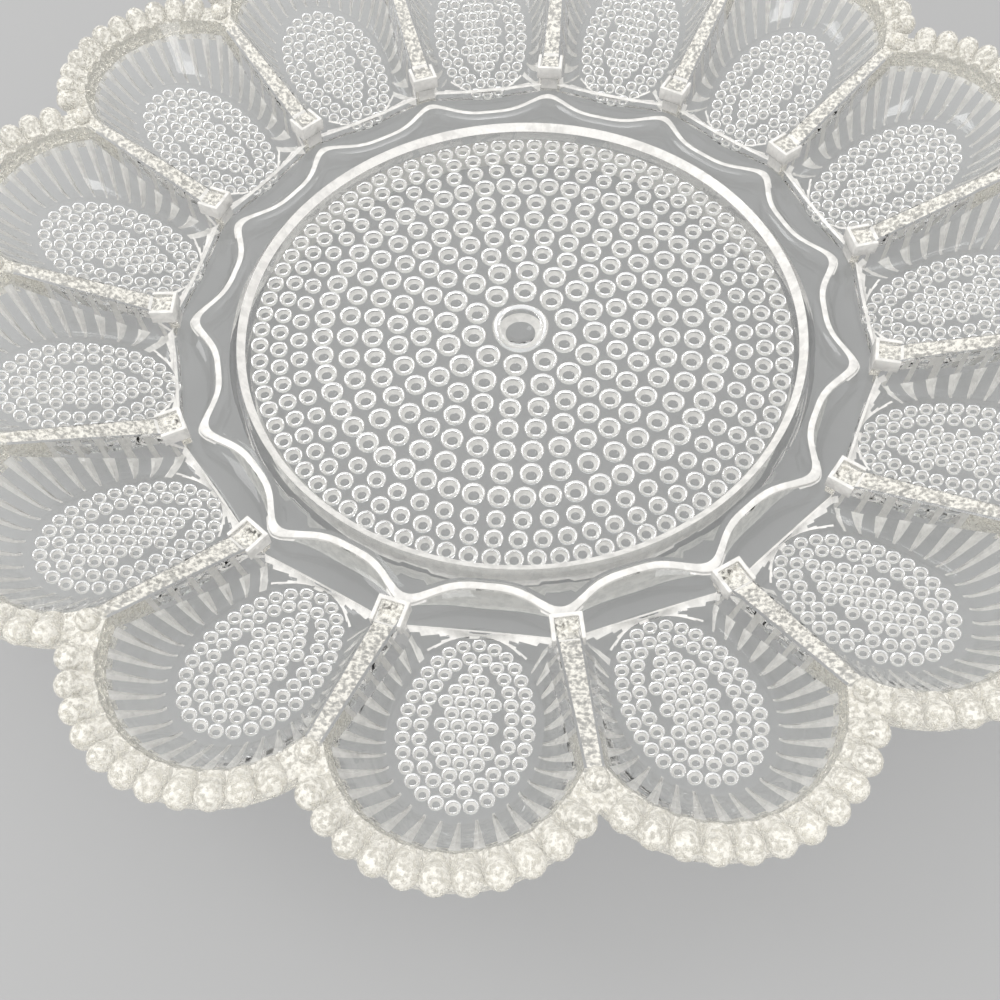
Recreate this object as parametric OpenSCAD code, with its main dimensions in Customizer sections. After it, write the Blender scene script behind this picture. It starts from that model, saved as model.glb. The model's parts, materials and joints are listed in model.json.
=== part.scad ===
// Pressed glass egg platter: a hobbed centre on a foot ring, 15 petal wells and a beaded rim.
// Units are millimetres, Z is up, and the foot ring stands on Z = 0 round the origin.
// The first well points along -Y, and the others follow it anticlockwise seen from above.

/* [Overall] */
// Diameter over the outermost beads
overall_d = 280; // [274:0.5:290]
// Height of the bead centres above the table
bead_z = 37.2; // [35:0.1:40]

/* [Centre plate] */
// Diameter of the flat hobbed middle
plate_d = 140; // [136:0.5:142]
// Height of the middle's upper face above the table
floor_z = 14; // [13:0.1:14.5]
// Thickness of the glass in the middle
plate_t = 4; // [3:0.1:5]
// Diameter of the big hob at the very centre
centre_hob_d = 14; // [10:0.5:16]
// Height of the big centre hob
centre_hob_h = 2.6; // [1.5:0.1:3.5]
// Diameter of the hobs in the two inner rings
inner_hob_d = 6.2; // [5:0.1:6.6]
// Diameter of the hobs in the five middle rings
middle_hob_d = 5.5; // [4.5:0.1:5.6]
// Diameter of the hobs in the three outer rings
outer_hob_d = 4.5; // [3.6:0.1:4.8]
// Height of the ring hobs
hob_h = 1.7; // [1:0.1:2]

/* [Foot ring] */
// How far inside the plate's edge the foot ring starts
foot_inset = 3.5; // [2.6:0.1:4.4]
// Width of the foot ring where it joins the glass
foot_w = 5; // [4:0.1:5.4]
// Width of the flat that stands on the table
foot_flat_w = 3; // [2:0.1:3.6]

/* [Collar] */
// Distance from the plate's edge to the crest, in the middle of a well
crest_w = 2; // [1.4:0.1:3]
// Distance from the plate's edge to the crest's cusps between two wells
cusp_w = 7.4; // [5:0.1:9]
// Height of the crest above the table
crest_z = 15.4; // [14.8:0.1:16]
// Distance from the plate's edge to the straight inner end of a well
collar_w = 14; // [12.5:0.1:15]
// Height of a well's inner end above the table
chord_z = 15.6; // [15:0.1:16.4]
// Thickness of the glass at a well's inner end
chord_t = 4; // [3.4:0.1:4.4]
// Depth of the hollow in each lens-shaped facet
facet_dip = 0.9; // [0.3:0.1:1.4]

/* [Egg wells] */
// Height of the inner lip above the table
lip_z = 36.2; // [35:0.1:37]
// Thickness of the glass along the lip
lip_t = 4; // [3.4:0.1:4.6]
// Distance from a well's straight inner end to its floor
floor_gap_in = 2.6; // [2.2:0.1:4]
// Distance from a well's floor to the lip
floor_gap_out = 10; // [8.8:0.1:11.3]
// Half the width of a well's floor
egg_half_w = 14.7; // [13:0.1:15]
// Height of the floor's upper face at its inner end
egg_z = 14.4; // [14:0.1:15]
// Rise of the floor over its whole length
egg_rise = 11.4; // [10:0.1:12.5]
// Thickness of the well's floor
egg_t = 3; // [2.6:0.1:3.4]
// Depth of the grooves between the flutes outside a well
flute_depth = 0.7; // [0.3:0.1:1]
// Smooth border between a floor's edge and its hobs
egg_border = 2.2; // [1.8:0.1:3]
// Thickness of the raised pad that carries a floor's hobs
pad_t = 0.3; // [0.2:0.1:0.5]
// Diameter of a well's hobs
egg_hob_d = 2.8; // [2.4:0.1:2.9]
// Height of a well's hobs
egg_hob_h = 1; // [0.8:0.1:1.2]
// Distance between the rings of a well's hobs
egg_hob_pitch = 3.05; // [3:0.05:3.4]

/* [Dividers] */
// Width of a divider at its square inner end
divider_w_in = 5.4; // [4.8:0.1:5.8]
// Width of a divider at the rim
divider_w_out = 3.6; // [3:0.1:4]
// Height of a divider's square inner end above the table
divider_z = 20.8; // [19:0.1:22]

/* [Beaded rim] */
// Diameter of a bead
bead_d = 5.5; // [5.4:0.1:5.8]
// Distance between the centres of neighbouring beads
bead_pitch = 5.35; // [5.2:0.05:5.35]
// Diameter of the finger that runs from a bead down to the lip
finger_d = 4.9; // [4.7:0.1:5.1]
// Width of the beaded rim from the lip to the outermost bead
rim_w = 7.2; // [6.9:0.1:7.6]
// Diameter of the bead where two scallops meet
junction_d = 4.6; // [4:0.1:5]

/* [Hidden] */
well_count = 15;
half_a = 180 / well_count;
big = overall_d;
round_fn = 64;
bead_fn = 32;

// The hob rings: places as shares of the plate's radius, and how many hobs each ring holds
ring_shares = [0.168, 0.263, 0.352, 0.436, 0.523, 0.611, 0.7, 0.783, 0.853, 0.921];
ring_counts = [10, 16, 23, 29, 36, 40, 53, 58, 69, 81];
first_middle_ring = 2;
first_outer_ring = 7;

// Collar and foot places, out from the plate's edge
crest_r = plate_d / 2 + crest_w;
cusp_r = plate_d / 2 + cusp_w;
chord_r = plate_d / 2 + collar_w;
foot_inner_d = plate_d - 2 * foot_inset;

// The lip's circle fills the ring of wells, so its radius is a share of how far the lip is from the centre
lip_share = 24 / 132.8;
lip_end = overall_d / 2 - rim_w;
lip_r = lip_share * lip_end;

// Scallop, lip and divider places, in a well's own frame with its axis along X
scallop_r = lip_r + rim_w;
scallop_x = overall_d / 2 - scallop_r;
bead_line_r = scallop_r - bead_d / 2;
bead_step = 2 * asin(bead_pitch / 2 / bead_line_r);
cross_a = asin(scallop_x * sin(half_a) / bead_line_r);
bead_count = floor(2 * (half_a + cross_a) / bead_step);
lip_a = half_a + asin((scallop_x * sin(half_a) - divider_w_out / 2) / lip_r);
divider_x_out = scallop_x * cos(half_a) + lip_r * cos(lip_a - half_a);

// The junction bead stands between a divider's end and the place where two scallops' bead lines cross
junction_share = 0.458991;
junction_r = mix(divider_x_out, scallop_x * cos(half_a) + bead_line_r * cos(cross_a), junction_share);
chord_half_w = chord_r * tan(half_a) - divider_w_in / 2 / cos(half_a);
divider_x_in = chord_r * cos(half_a) + chord_half_w * sin(half_a);
chord_a = atan(chord_half_w / chord_r);
under_z = floor_z - plate_t;
chord_under_z = chord_z - chord_t;
lip_under_z = lip_z - lip_t;

// A floor reaches from one end of its well to the other, less the gaps, and is widest past its middle
widest_share = 19.4 / 36.2;
egg_len = lip_end - floor_gap_out - chord_r - floor_gap_in;
egg_in = widest_share * egg_len;
egg_out = egg_len - egg_in;
egg_x = chord_r + floor_gap_in + egg_in;
egg_tilt = atan(egg_rise / egg_len);

// How many faces the well's outline has along its chord, each side and its arc
chord_n = 8;
side_n = 12;
arc_n = 2 * bead_count;
outline_n = chord_n + 2 * side_n + arc_n;
well_names = [for (i = [1 : well_count]) str(i < 10 ? "0" : "", i)];

function mix(a, b, t) = a + (b - a) * t;

// A point beside a divider's centre line, in the frame of the well next to it
function beside(along, off, side) =
    [along * cos(half_a) + off * sin(half_a), side * (along * sin(half_a) - off * cos(half_a))];

// A well's outline from above, anticlockwise from the +Y corner of its straight inner end
function side_point(t, side) =
    beside(mix(divider_x_in, divider_x_out, t), mix(divider_w_in, divider_w_out, t) / 2, side);
function well_outline() = concat(
    [for (i = [0 : chord_n - 1]) [chord_r, mix(chord_half_w, -chord_half_w, i / chord_n)]],
    [for (i = [0 : side_n - 1]) side_point(i / side_n, -1)],
    [for (i = [0 : arc_n - 1]) arc_point(mix(-lip_a, lip_a, i / arc_n))],
    [for (i = [0 : side_n - 1]) side_point(1 - i / side_n, 1)]);
function arc_point(a) = [scallop_x + lip_r * cos(a), lip_r * sin(a)];

// Heights of the outline's upper and lower edges; a side climbs from the chord to the divider's top
climb_share = 0.16;
function side_top(t) =
    mix(chord_z, mix(divider_z, lip_z, max(t, climb_share)), min(1, t / climb_share));
function side_under(t) = mix(chord_under_z, lip_under_z, t);
function edge_z(top, low, side_f) = concat(
    [for (i = [0 : chord_n - 1]) top],
    [for (i = [0 : side_n - 1]) side_f == "top" ? side_top(i / side_n) : side_under(i / side_n)],
    [for (i = [0 : arc_n - 1]) low],
    [for (i = [0 : side_n - 1]) side_f == "top" ? side_top(1 - i / side_n) : side_under(1 - i / side_n)]);

// The egg-shaped edge of a floor in the direction a, drawn in by a border
function egg_reach(a, inset) =
    let (len = (cos(a) > 0 ? egg_out : egg_in) - inset, wide = egg_half_w - inset)
    1 / sqrt(pow(cos(a) / len, 2) + pow(sin(a) / wide, 2));
function egg_point(a, inset) = [egg_x + egg_reach(a, inset) * cos(a), egg_reach(a, inset) * sin(a)];
function egg_top(x) = egg_z + egg_rise * (x - egg_x + egg_in) / egg_len;

// One quad ring between two rings of points, as triangles with outward faces
function band(from, to, n) = [for (i = [0 : n - 1]) for (f = [
    [from + i, to + (i + 1) % n, from + (i + 1) % n],
    [from + i, to + i, to + (i + 1) % n]]) f];

module petal(i) {
    rotate(360 / well_count * (i - 1) - 90)
        children();
}

module valley(i) {
    rotate(360 / well_count * (i - 1) - 90 + half_a)
        children();
}

// A round hob that hangs under a flat face at height zero, its root sunk into the glass above
module hob(d, h, root) {
    r = (d * d / 4 + h * h) / (2 * h);
    intersection() {
        translate([0, 0, r - h])
            sphere(r = r, $fn = bead_fn);
        translate([-d, -d, -d])
            cube([2 * d, 2 * d, d + root]);
    }
}

// Directions of the points that the collar and the centre plate share, for one well and all wells
collar_shares = [-1, -0.6, -0.2, 0.2, 0.6, 1];
sector_n = len(collar_shares) + 1;
collar_n = well_count * sector_n;
collar_a = [for (w = [0 : well_count - 1]) for (k = [0 : sector_n - 1])
    k < sector_n - 1 ? collar_shares[k] * chord_a : half_a];

function collar_dir(i) = 360 / well_count * floor(i / sector_n) - 90 + collar_a[i];
function on_ring(i, r, z) = [r * cos(collar_dir(i)), r * sin(collar_dir(i)), z];
crest_power = 1.7;
function crest_at(a) = mix(crest_r, cusp_r, pow(abs(a) / half_a, crest_power));
function collar_edge(a) = a == half_a ? divider_x_in : chord_r / cos(a);
function dip_at(a) = facet_dip * (1 - pow(a / half_a, 2));

module centre_plate() {
    color("gainsboro")
        union() {
            translate([0, 0, under_z])
                linear_extrude(plate_t)
                    polygon([for (i = [0 : collar_n - 1])
                        [plate_d / 2 * cos(collar_dir(i)), plate_d / 2 * sin(collar_dir(i))]]);
            translate([0, 0, under_z])
                hob(centre_hob_d, centre_hob_h, plate_t / 2);
            for (k = [0 : len(ring_counts) - 1])
                for (j = [0 : ring_counts[k] - 1])
                    rotate(360 / ring_counts[k] * j - 90)
                        translate([ring_shares[k] * plate_d / 2, 0, under_z])
                            hob(k < first_middle_ring ? inner_hob_d
                                : k < first_outer_ring ? middle_hob_d : outer_hob_d, hob_h, plate_t / 2);
        }
}

module foot_ring() {
    inner = foot_inner_d / 2;
    slope = (foot_w - foot_flat_w) / 2;
    color("gainsboro")
        rotate_extrude($fn = round_fn)
            polygon([[inner, under_z], [inner + slope, 0],
                [inner + slope + foot_flat_w, 0], [inner + foot_w, under_z]]);
}

module collar() {
    rings = concat(
        [for (i = [0 : collar_n - 1]) on_ring(i, plate_d / 2, floor_z)],
        [for (i = [0 : collar_n - 1]) on_ring(i, crest_at(collar_a[i]), crest_z)],
        [for (i = [0 : collar_n - 1]) on_ring(i, (crest_at(collar_a[i]) + collar_edge(collar_a[i])) / 2,
            (crest_z + chord_z) / 2 - dip_at(collar_a[i]))],
        [for (i = [0 : collar_n - 1]) on_ring(i, collar_edge(collar_a[i]), chord_z)],
        [for (i = [0 : collar_n - 1]) on_ring(i, collar_edge(collar_a[i]), chord_under_z)],
        [for (i = [0 : collar_n - 1]) on_ring(i, foot_inner_d / 2 + foot_w, under_z)],
        [for (i = [0 : collar_n - 1]) on_ring(i, plate_d / 2, under_z)]);
    ring_count = len(rings) / collar_n;
    color("gainsboro")
        polyhedron(rings, [for (k = [0 : ring_count - 1])
            each band(((k + 1) % ring_count) * collar_n, k * collar_n, collar_n)]);
}

// The bowl of a well without its hobs: six rings of points from the floor up and back underneath
module well_shell() {
    outline = well_outline();
    top_z = edge_z(chord_z, lip_z, "top");
    under_z_list = edge_z(chord_under_z, lip_under_z, "under");
    dirs = [for (p = outline) atan2(p.y, p.x - egg_x)];
    floor_in = [for (a = dirs) egg_point(a, 0)];
    function lift(p, z) = [p.x, p.y, z];
    function flute(i) = i % 2 == 0 ? flute_depth / 2 : -flute_depth / 2;
    function outward(i, t, d) =
        let (p = mix(floor_in[i], outline[i], t))
        p + d * [cos(dirs[i]), sin(dirs[i])];
    wall_share = 0.52;
    wall_z_share = 0.34;
    back_share = 0.7;
    back_z_share = 0.42;
    rings = concat(
        [for (i = [0 : outline_n - 1]) lift(floor_in[i], egg_top(floor_in[i].x))],
        [for (i = [0 : outline_n - 1]) let (p = outward(i, wall_share, 0))
            lift(p, mix(egg_top(p.x), top_z[i], wall_z_share))],
        [for (i = [0 : outline_n - 1]) lift(outline[i], top_z[i])],
        [for (i = [0 : outline_n - 1]) lift(outline[i], under_z_list[i])],
        [for (i = [0 : outline_n - 1]) let (p = outward(i, back_share, flute(i) * back_share))
            lift(p, mix(egg_top(p.x) - egg_t, under_z_list[i], back_z_share))],
        [for (i = [0 : outline_n - 1]) lift(floor_in[i], egg_top(floor_in[i].x) - egg_t)]);
    last = len(rings) - outline_n;
    polyhedron(rings, concat(
        [[for (i = [outline_n - 1 : -1 : 0]) i]],
        [for (from = [0 : outline_n : last - outline_n]) each band(from + outline_n, from, outline_n)],
        [[for (i = [0 : outline_n - 1]) last + i]]));
}

// How many rings of hobs a floor has, and how many corners its raised pad has
hob_ring_count = 4;
pad_n = 24;

// The hobs under a floor, in its own plane: the origin at the widest place, X up the slope
module well_hobs() {
    r = (egg_hob_d * egg_hob_d / 4 + egg_hob_h * egg_hob_h) / (2 * egg_hob_h);
    for (k = [0 : hob_ring_count - 1]) {
        inset = egg_border + egg_hob_d / 2 + k * egg_hob_pitch;
        around = PI * (egg_in + egg_out + 2 * egg_half_w - 4 * inset) / 2;
        n = floor(around / egg_hob_pitch);
        for (j = [0 : n - 1]) {
            p = egg_point(360 / n * (j + (k % 2) / 2), inset) - [egg_x, 0];
            translate([p.x / cos(egg_tilt), p.y, r - egg_hob_h])
                sphere(r = r, $fn = bead_fn);
        }
    }
}

module egg_well(i) {
    low = egg_top(egg_x) - egg_t;
    color("whitesmoke")
        petal(i)
            union() {
                well_shell();
                translate([egg_x, 0, low])
                    rotate([0, -egg_tilt, 0])
                        translate([0, 0, -pad_t]) {
                            linear_extrude(egg_t / 2 + pad_t)
                                polygon([for (j = [0 : pad_n - 1])
                                    let (p = egg_point(360 / pad_n * j, egg_border) - [egg_x, 0])
                                    [p.x / cos(egg_tilt), p.y]]);
                            well_hobs();
                        }
            }
}

module divider(i) {
    long = divider_x_out - divider_x_in;
    color("cornsilk")
        valley(i)
            intersection() {
                linear_extrude(big)
                    polygon([[divider_x_in, -divider_w_in / 2], [divider_x_out, -divider_w_out / 2],
                        [divider_x_out, divider_w_out / 2], [divider_x_in, divider_w_in / 2]]);
                translate([divider_x_in, big / 2, 0])
                    rotate([90, 0, 0])
                        linear_extrude(big)
                            polygon([[0, chord_under_z], [long, lip_under_z],
                                [long, lip_z], [0, divider_z]]);
            }
}

// The plan area that a scallop's rim may fill: its wedge beyond the dividers, less the well
module rim_area() {
    difference() {
        polygon([beside(divider_x_out, 0, -1), [big, -big * tan(half_a)], [big, big * tan(half_a)],
            beside(divider_x_out, 0, 1), beside(divider_x_out, divider_w_out / 2, 1), [scallop_x, 0],
            beside(divider_x_out, divider_w_out / 2, -1)]);
        polygon(well_outline());
    }
}

// How far a rim's fingers run on past the lip, as a share of the way from the bead to the lip
finger_share = 1.2;

module bead_rim(i) {
    reach = bead_line_r - lip_r;
    drop = bead_z - lip_z + lip_t / 2;
    finger = finger_share * norm([reach, drop]);
    color("cornsilk")
        petal(i)
            intersection() {
                linear_extrude(big)
                    rim_area();
                union() {
                    translate([scallop_x, 0, lip_under_z])
                        cylinder(r = bead_line_r, h = lip_t, $fn = round_fn);
                    for (k = [0 : bead_count - 1])
                        translate([scallop_x, 0, bead_z])
                            rotate((k - (bead_count - 1) / 2) * bead_step)
                                translate([bead_line_r, 0, 0]) {
                                    sphere(d = bead_d, $fn = bead_fn);
                                    rotate([0, -90 - atan(drop / reach), 0])
                                        cylinder(d = finger_d, h = finger, $fn = bead_fn);
                                }
                    for (s = [-1, 1])
                        rotate(s * half_a)
                            translate([junction_r, 0, bead_z])
                                rotate([90, 0, 0])
                                    sphere(d = junction_d, $fn = bead_fn);
                }
            }
}

centre_plate();
foot_ring();
collar();
for (i = [1 : well_count]) {
    egg_well(i);
    divider(i);
    bead_rim(i);
}
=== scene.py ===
# %% [markdown]
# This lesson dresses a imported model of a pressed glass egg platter. The real platter is one casting, and the
# model splits it where a mould maker would: a middle, a foot ring, a collar, 15 wells, 15 dividers and 15 rim
# scallops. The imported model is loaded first, because every new piece has to sit where its solid sits.

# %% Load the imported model
import json
import math

import bmesh
import bpy
from mathutils import Matrix, Vector, kdtree, noise

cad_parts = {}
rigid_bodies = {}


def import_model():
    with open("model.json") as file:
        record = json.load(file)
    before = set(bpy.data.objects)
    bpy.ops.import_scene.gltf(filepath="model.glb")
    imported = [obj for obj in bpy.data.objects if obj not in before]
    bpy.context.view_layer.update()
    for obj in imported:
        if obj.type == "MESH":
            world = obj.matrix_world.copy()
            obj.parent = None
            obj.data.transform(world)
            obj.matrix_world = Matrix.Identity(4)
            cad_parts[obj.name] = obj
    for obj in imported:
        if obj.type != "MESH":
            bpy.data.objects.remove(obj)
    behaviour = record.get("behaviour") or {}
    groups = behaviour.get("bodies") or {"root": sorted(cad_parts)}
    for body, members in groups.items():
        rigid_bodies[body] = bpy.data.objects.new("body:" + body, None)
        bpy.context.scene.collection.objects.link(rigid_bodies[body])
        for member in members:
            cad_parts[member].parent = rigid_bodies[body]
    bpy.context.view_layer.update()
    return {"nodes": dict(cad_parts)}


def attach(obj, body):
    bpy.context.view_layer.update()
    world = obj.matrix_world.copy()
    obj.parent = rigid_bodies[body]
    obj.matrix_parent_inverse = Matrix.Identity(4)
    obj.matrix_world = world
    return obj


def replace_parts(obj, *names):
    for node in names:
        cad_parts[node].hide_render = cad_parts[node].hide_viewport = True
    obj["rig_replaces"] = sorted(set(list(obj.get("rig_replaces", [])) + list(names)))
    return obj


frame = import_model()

print("nodes in the frame:", len(frame["nodes"]))

# %% [markdown]
# The sizes come from the platter's drawing. They are kept in millimetres, as a glass maker would quote them,
# and turned into Blender's metres only when a point is placed.

# %% Sizes of the platter, in millimetres
MM = 0.001
WELLS = 15
BEADS = 11
HALF = math.radians(180 / WELLS)

PLATE_R = 70
FLOOR_Z = 14
UNDER_Z = 10
HOB_ROOT = 1.5

FOOT_IN = 66.5
FOOT_W = 5
FOOT_FLAT_W = 3

CREST_R = 73.2
CUSP_R = 79
CREST_Z = 15.4
CHORD_R = 84
CHORD_Z = 15.6
CHORD_UNDER_Z = 11.6
FACET_DIP = 1.7

LIP_R = 24
LIP_Z = 36.2
LIP_UNDER_Z = 32.2
EGG_X = 106
EGG_IN = 21.9
EGG_OUT = 19.4
EGG_HALF_W = 15.1
EGG_Z = 13.8
EGG_RISE = 12.9
EGG_T = 3

DIVIDER_W_IN = 5.4
DIVIDER_W_OUT = 3.6
DIVIDER_Z = 20.8

BEAD_D = 5.5
BEAD_Z = 37.2
BEAD_PITCH = 5.35
SCALLOP_R = 31.2
JUNCTION_D = 4.6
JUNCTION_R = 120.8
RIM_R = 140

SCALLOP_X = RIM_R - SCALLOP_R
BEAD_LINE_R = SCALLOP_R - BEAD_D / 2
LIP_A = HALF + math.asin((SCALLOP_X * math.sin(HALF) - DIVIDER_W_OUT / 2) / LIP_R)
DIVIDER_OUT = SCALLOP_X * math.cos(HALF) + LIP_R * math.cos(LIP_A - HALF)
CHORD_HALF_W = CHORD_R * math.tan(HALF) - DIVIDER_W_IN / 2 / math.cos(HALF)
DIVIDER_IN = CHORD_R * math.cos(HALF) + CHORD_HALF_W * math.sin(HALF)
CHORD_A = math.atan(CHORD_HALF_W / CHORD_R)
print(f"dividers run from {DIVIDER_IN:.1f} to {DIVIDER_OUT:.1f} mm from the centre")

# %% [markdown]
# Two kinds of glass show, and a painted highlight. Most of the platter is clear and fire-polished, with a slow
# ripple from the mould. The dividers and the beaded rim are stippled, which makes them sparkle; their cream tint
# is painted warm light. Ridges, grooves and the foot gather light from all round and look white from above, and
# that light is painted on them as white, nearly opaque glass, the painted highlight. Where two pieces of the one
# casting meet there is no surface at all, so those faces get a finish that lets light straight through, and no
# seam shows.

# %% The finishes
GLASS_IOR = 1.5
RIPPLE_SIZE = 60
RIPPLE_STRENGTH = 0.02
STIPPLE_SIZE = 1100
STIPPLE_STRENGTH = 0.9
STIPPLE_ROUGHNESS = 0.08
PAINTED_HIGHLIGHT_SIZE = 350
PAINTED_HIGHLIGHT_STRENGTH = 0.4
PAINTED_HIGHLIGHT_ROUGHNESS = 0.05
PATCH_FROM, PATCH_TO = 0.4, 0.6
SHADOW_TINT = (0.82, 0.82, 0.82, 1)


def glass_finish(name, colour, clearness, roughness, grain, strength, distance):
    """Glass with a bump of noise, its clearness anywhere between two values as that noise goes.

    Light on its way to the floor passes straight through, a little dimmed."""
    finish = bpy.data.materials.new(name)
    finish.use_nodes = True
    nodes, links = finish.node_tree.nodes, finish.node_tree.links
    body = nodes["Principled BSDF"]
    body.inputs["Base Color"].default_value = colour
    body.inputs["Roughness"].default_value = roughness
    body.inputs["IOR"].default_value = GLASS_IOR
    place = nodes.new("ShaderNodeTexCoord")
    ripple = nodes.new("ShaderNodeTexNoise")
    ripple.inputs["Scale"].default_value = grain
    ripple.inputs["Detail"].default_value = 3
    bump = nodes.new("ShaderNodeBump")
    bump.inputs["Strength"].default_value = strength
    bump.inputs["Distance"].default_value = distance
    links.new(place.outputs["Object"], ripple.inputs["Vector"])
    links.new(ripple.outputs["Fac"], bump.inputs["Height"])
    links.new(bump.outputs["Normal"], body.inputs["Normal"])
    patches = nodes.new("ShaderNodeMapRange")
    patches.inputs["From Min"].default_value = PATCH_FROM
    patches.inputs["From Max"].default_value = PATCH_TO
    patches.inputs["To Min"].default_value, patches.inputs["To Max"].default_value = clearness
    links.new(ripple.outputs["Fac"], patches.inputs["Value"])
    links.new(patches.outputs["Result"], body.inputs["Transmission Weight"])
    shade = nodes.new("ShaderNodeBsdfTransparent")
    shade.inputs["Color"].default_value = SHADOW_TINT
    path = nodes.new("ShaderNodeLightPath")
    soft = nodes.new("ShaderNodeMath")
    soft.operation = "MAXIMUM"
    mixer = nodes.new("ShaderNodeMixShader")
    links.new(path.outputs["Is Shadow Ray"], soft.inputs[0])
    links.new(path.outputs["Is Diffuse Ray"], soft.inputs[1])
    links.new(soft.outputs["Value"], mixer.inputs["Fac"])
    links.new(body.outputs["BSDF"], mixer.inputs[1])
    links.new(shade.outputs["BSDF"], mixer.inputs[2])
    links.new(mixer.outputs["Shader"], nodes["Material Output"].inputs["Surface"])
    return finish


CLEAR = glass_finish(
    "clear_glass", colour=(0.955, 0.965, 0.955, 1), clearness=(1, 1), roughness=0.0,
    grain=RIPPLE_SIZE, strength=RIPPLE_STRENGTH, distance=0.001,
)
# The stipple is real; its cream colour is painted warm light.
STIPPLED = glass_finish(
    "stippled_glass", colour=(1.0, 0.97, 0.88, 1), clearness=(0.05, 0.92), roughness=STIPPLE_ROUGHNESS,
    grain=STIPPLE_SIZE, strength=STIPPLE_STRENGTH, distance=0.0006,
)
# The painted highlight: white, nearly opaque, warm-tinted glass that stands in for the light ridges, grooves and
# the foot gather.
PAINTED_HIGHLIGHT = glass_finish(
    "painted_highlight_glass", colour=(1.0, 0.98, 0.93, 1), clearness=(0.0, 0.25), roughness=PAINTED_HIGHLIGHT_ROUGHNESS,
    grain=PAINTED_HIGHLIGHT_SIZE, strength=PAINTED_HIGHLIGHT_STRENGTH, distance=0.0005,
)

JOINED = bpy.data.materials.new("joined_glass")
JOINED.use_nodes = True
tree = JOINED.node_tree
tree.nodes.remove(tree.nodes["Principled BSDF"])
see_through = tree.nodes.new("ShaderNodeBsdfTransparent")
tree.links.new(see_through.outputs["BSDF"], tree.nodes["Material Output"].inputs["Surface"])

CLEAR_SLOT, JOINED_SLOT, STIPPLED_SLOT, PAINTED_HIGHLIGHT_SLOT = 0, 1, 2, 3
FINISHES = (CLEAR, JOINED, STIPPLED, PAINTED_HIGHLIGHT)
print("finishes:", [f.name for f in FINISHES])

# %% [markdown]
# Almost every form here is a ring of points that changes as it moves: a bowl, a foot, a hob. By hand one adds a
# circle, extrudes its edge and shapes each new ring, so one helper does just that, ring after ring.

# %% Helper: a form made by extruding a circle's edge
def select_nothing():
    if bpy.context.object and bpy.context.object.mode != "OBJECT":
        bpy.ops.object.mode_set(mode="OBJECT")
    bpy.ops.object.select_all(action="DESELECT")


def extruded_rings(name, rings, close=False):
    """Each ring is a list of (x, y, z) in millimetres, all of the same length.

    The ends are capped, or with close the last ring lies on the first one and is merged with it."""
    select_nothing()
    count = len(rings[0])
    bpy.ops.mesh.primitive_circle_add(vertices=count, radius=MM, fill_type="NOTHING", enter_editmode=True)
    piece = bpy.context.object
    piece.name = piece.data.name = name
    mesh = bmesh.from_edit_mesh(piece.data)
    places = {v.index: i for i, v in enumerate(mesh.verts)}
    for v in mesh.verts:
        v.co = Vector(rings[0][places[v.index]]) * MM
    for ring in rings[1:]:
        bpy.ops.mesh.extrude_edges_move()
        mesh = bmesh.from_edit_mesh(piece.data)
        mesh.verts.index_update()
        fresh = {}
        for v in mesh.verts:
            if v.select:
                older = [e.other_vert(v) for e in v.link_edges if not e.other_vert(v).select]
                fresh[v.index] = places[older[0].index]
                v.co = Vector(ring[fresh[v.index]]) * MM
        places.update(fresh)
    bmesh.update_edit_mesh(piece.data)
    bpy.ops.mesh.select_mode(type="VERT")
    if close:
        bpy.ops.mesh.select_all(action="SELECT")
        bpy.ops.mesh.remove_doubles(threshold=MM / 1000)
    else:
        bpy.ops.mesh.edge_face_add()
        bpy.ops.mesh.select_all(action="DESELECT")
        mesh = bmesh.from_edit_mesh(piece.data)
        mesh.verts.ensure_lookup_table()
        for i in range(count):
            mesh.verts[i].select = True
        mesh.select_flush(True)
        bpy.ops.mesh.edge_face_add()
    bpy.ops.mesh.select_all(action="SELECT")
    bpy.ops.mesh.normals_make_consistent(inside=False)
    bpy.ops.object.mode_set(mode="OBJECT")
    for finish in FINISHES:
        piece.data.materials.append(finish)
    return piece


def mix(a, b, t):
    """The value that lies between a at 0 and b at 1."""
    return a + (b - a) * t


# %% Helpers: smooth shading, a boolean step, joining, copying, cutting and marking
SHARP = math.radians(38)


def smooth(piece, angle=SHARP):
    select_nothing()
    bpy.context.view_layer.objects.active = piece
    piece.select_set(True)
    bpy.ops.object.shade_smooth_by_angle(angle=angle)


def carve(piece, tool, how):
    """Adds, cuts or keeps the tool's form, and uses the tool up."""
    select_nothing()
    bpy.context.view_layer.objects.active = piece
    piece.select_set(True)
    step = piece.modifiers.new(how.title(), "BOOLEAN")
    step.operation = how
    step.solver = "MANIFOLD"
    step.object = tool
    bpy.ops.object.modifier_apply(modifier=step.name)
    bpy.data.objects.remove(tool)


def joined(pieces):
    """All the pieces in one object, the first of them."""
    select_nothing()
    for p in pieces:
        p.select_set(True)
    bpy.context.view_layer.objects.active = pieces[0]
    bpy.ops.object.join()
    return bpy.context.object


def copy_at(piece, place):
    """A copy with its own mesh, moved there in the mesh itself, so that its origin stays at zero."""
    twin = piece.copy()
    twin.data = piece.data.copy()
    twin.data.transform(place)
    bpy.context.scene.collection.objects.link(twin)
    return twin


def cut_across(piece, spot, direction, keep_faces=None):
    """Cuts new edges into the faces on a plane, without taking anything away."""
    select_nothing()
    bpy.context.view_layer.objects.active = piece
    piece.select_set(True)
    bpy.ops.object.mode_set(mode="EDIT")
    mesh = bmesh.from_edit_mesh(piece.data)
    for face in mesh.faces:
        face.select = keep_faces is None or keep_faces(face.calc_center_median() / MM, face.normal)
    bmesh.update_edit_mesh(piece.data)
    if any(f.select for f in mesh.faces):
        bpy.ops.mesh.bisect(plane_co=Vector(spot) * MM, plane_no=direction)
    bpy.ops.object.mode_set(mode="OBJECT")


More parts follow.
